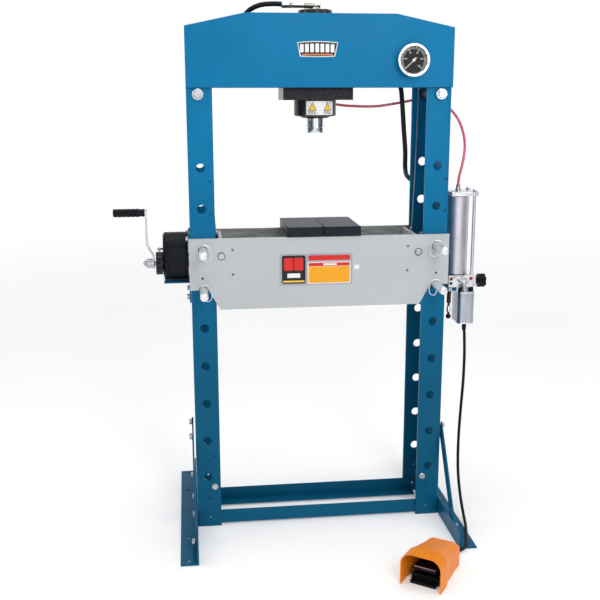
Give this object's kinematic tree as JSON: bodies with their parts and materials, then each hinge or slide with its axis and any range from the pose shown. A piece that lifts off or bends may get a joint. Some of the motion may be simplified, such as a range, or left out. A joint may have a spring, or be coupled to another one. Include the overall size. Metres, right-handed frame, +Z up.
{
  "type": "hydraulic shop press",
  "caption": "Floor-standing H-frame workshop press: sliding hydraulic cylinder, pinned height-adjustable bed, side winch, air-over-hydraulic pump and foot valve.",
  "frame": {"origin": "on the floor, under the middle of the overall size over feet, winch crank, pump knob and pedal", "axes": "+X to the operator's right, +Y away from the operator, +Z up"},
  "size_m": [1.359, 1.0918, 1.894],
  "materials": {
    "aluminium": "cast and machined",
    "black_paint": "semi-gloss paint",
    "black_plastic": "satin",
    "block_steel": "dark oiled",
    "blue_paint": "semi-gloss paint",
    "brass": "machined",
    "chrome": "polished",
    "glass": "clear",
    "grey_paint": "satin paint",
    "needle_white": "white",
    "orange_plastic": "moulded",
    "red_tube": "translucent",
    "rubber": "matte",
    "zinc": "zinc plated"
  },
  "bodies": {
    "press_frame": {"column_left": "blue_paint", "column_right": "blue_paint", "head_front_plate": "blue_paint", "head_rear_plate": "blue_paint", "head_bolt_left": "zinc", "head_bolt_right": "zinc", "head_spacer_left": "black_paint", "head_spacer_right": "black_paint", "cross_beam_front": "blue_paint", "cross_beam_rear": "blue_paint", "foot_left": "blue_paint", "foot_right": "blue_paint", "strut_left_front": "blue_paint", "strut_left_rear": "blue_paint", "strut_right_front": "blue_paint", "strut_right_rear": "blue_paint", "bed_front_plate": "grey_paint", "bed_rear_plate": "grey_paint", "bed_spacer_left": "blue_paint", "bed_spacer_right": "blue_paint", "gauge_case": "chrome", "gauge_lens": "glass", "winch_bracket": "blue_paint", "winch_cover": "black_plastic", "lift_rope_left": "zinc", "lift_rope_right": "zinc", "pump_bracket": "blue_paint", "air_cylinder": "chrome", "pump_top_plate": "aluminium", "pump_manifold": "aluminium", "reservoir": "aluminium", "hydraulic_hose": "rubber", "air_tube": "red_tube", "pedal_hose": "rubber", "pedal_hood": "orange_plastic", "pedal_base": "black_plastic"},
    "cylinder_head": {"cylinder_carriage": "black_paint", "cylinder_barrel": "black_paint", "cylinder_cap": "black_paint", "hose_elbow": "brass"},
    "ram_rod": {"ram": "chrome"},
    "pin_upper_left": {"bed_pin_upper_left": "zinc"},
    "pin_upper_right": {"bed_pin_upper_right": "zinc"},
    "pin_lower_left": {"bed_pin_lower_left": "zinc"},
    "pin_lower_right": {"bed_pin_lower_right": "zinc"},
    "block_left": {"press_block_left": "block_steel"},
    "block_right": {"press_block_right": "block_steel"},
    "pointer": {"gauge_needle": "needle_white"},
    "crank": {"crank_shaft": "zinc", "ratchet_wheel": "black_paint", "crank_arm": "zinc"},
    "grip": {"crank_grip": "black_plastic"},
    "drum": {"winch_drum": "zinc"},
    "pawl": {"ratchet_pawl": "zinc"},
    "left_pulley_wheel": {"pulley_left": "zinc"},
    "right_pulley_wheel": {"pulley_right": "zinc"},
    "release_valve": {"release_knob": "black_plastic"},
    "air_valve": {"air_valve_knob": "black_plastic"},
    "hand_lever": {"lever_socket": "zinc"},
    "pedal_treadle": {"treadle": "black_plastic"}
  },
  "joints": [
    {"name": "head_slide", "type": "slide", "parent": "press_frame", "child": "cylinder_head", "axis": [1, 0, 0], "range_m": [-0.1, 0.1], "deforming": ["hydraulic_hose", "air_tube"]},
    {"name": "ram_slide", "type": "slide", "parent": "cylinder_head", "child": "ram_rod", "axis": [0, 0, -1], "range_m": [0, 0.19], "stiffness_N_per_m": 500, "springref_m": -0.25},
    {"name": "pin_upper_left_slide", "type": "slide", "parent": "press_frame", "child": "pin_upper_left", "axis": [0, -1, 0], "range_m": [0, 0.4]},
    {"name": "pin_upper_right_slide", "type": "slide", "parent": "press_frame", "child": "pin_upper_right", "axis": [0, -1, 0], "range_m": [0, 0.4]},
    {"name": "pin_lower_left_slide", "type": "slide", "parent": "press_frame", "child": "pin_lower_left", "axis": [0, -1, 0], "range_m": [0, 0.4]},
    {"name": "pin_lower_right_slide", "type": "slide", "parent": "press_frame", "child": "pin_lower_right", "axis": [0, -1, 0], "range_m": [0, 0.4]},
    {"name": "block_left_lift", "type": "slide", "parent": "press_frame", "child": "block_left", "axis": [0, 0, 1], "range_m": [0, 0.12]},
    {"name": "block_right_lift", "type": "slide", "parent": "press_frame", "child": "block_right", "axis": [0, 0, 1], "range_m": [0, 0.12]},
    {"name": "gauge_pointer", "type": "hinge", "parent": "press_frame", "child": "pointer", "pos_m": [0.3556, -0.008, 1.6917], "axis": [0, 1, 0], "range_deg": [0, 270], "stiffness_Nm_per_rad": 0.002, "springref_deg": -17.19},
    {"name": "crank_spin", "type": "hinge", "parent": "press_frame", "child": "crank", "pos_m": [-0.4254, 0.0865, 0.996], "axis": [1, 0, 0], "continuous": true},
    {"name": "grip_spin", "type": "hinge", "parent": "crank", "child": "grip", "pos_m": [-0.5701, 0.0865, 1.1762], "axis": [1, 0, 0], "continuous": true},
    {"name": "drum_spin", "type": "hinge", "parent": "press_frame", "child": "drum", "pos_m": [-0.4954, 0.144, 1.0125], "axis": [1, 0, 0], "continuous": true},
    {"name": "pawl_lift", "type": "hinge", "parent": "press_frame", "child": "pawl", "pos_m": [-0.5244, 0.1165, 1.042], "axis": [-1, 0, 0], "range_deg": [0, 35], "stiffness_Nm_per_rad": 0.05, "springref_deg": -17.19},
    {"name": "left_pulley_spin", "type": "hinge", "parent": "press_frame", "child": "left_pulley_wheel", "pos_m": [-0.3719, 0.224, 1.645], "axis": [0, 1, 0], "continuous": true},
    {"name": "right_pulley_spin", "type": "hinge", "parent": "press_frame", "child": "right_pulley_wheel", "pos_m": [0.4066, 0.232, 1.645], "axis": [0, 1, 0], "continuous": true},
    {"name": "release_knob_turn", "type": "hinge", "parent": "press_frame", "child": "release_valve", "pos_m": [0.6389, 0.117, 0.897], "axis": [1, 0, 0], "range_deg": [0, 270]},
    {"name": "air_valve_turn", "type": "hinge", "parent": "press_frame", "child": "air_valve", "pos_m": [0.5381, 0.096, 0.767], "axis": [0, 0, 1], "range_deg": [0, 180]},
    {"name": "hand_lever_rock", "type": "hinge", "parent": "press_frame", "child": "hand_lever", "pos_m": [0.5876, 0.0817, 0.901], "axis": [1, 0, 0], "range_deg": [-25, 25]},
    {"name": "treadle_press", "type": "hinge", "parent": "press_frame", "child": "pedal_treadle", "pos_m": [0.39246, -0.37515, 0.044], "axis": [0.8049, -0.5934, 0], "range_deg": [0, 10], "stiffness_Nm_per_rad": 2, "springref_deg": -11.46}
  ],
  "couplings": [
    {"joint": "drum_spin", "follows": "crank_spin", "ratio": -0.33333},
    {"joint": "left_pulley_spin", "follows": "crank_spin", "ratio": -0.401},
    {"joint": "right_pulley_spin", "follows": "crank_spin", "ratio": -0.401}
  ]
}
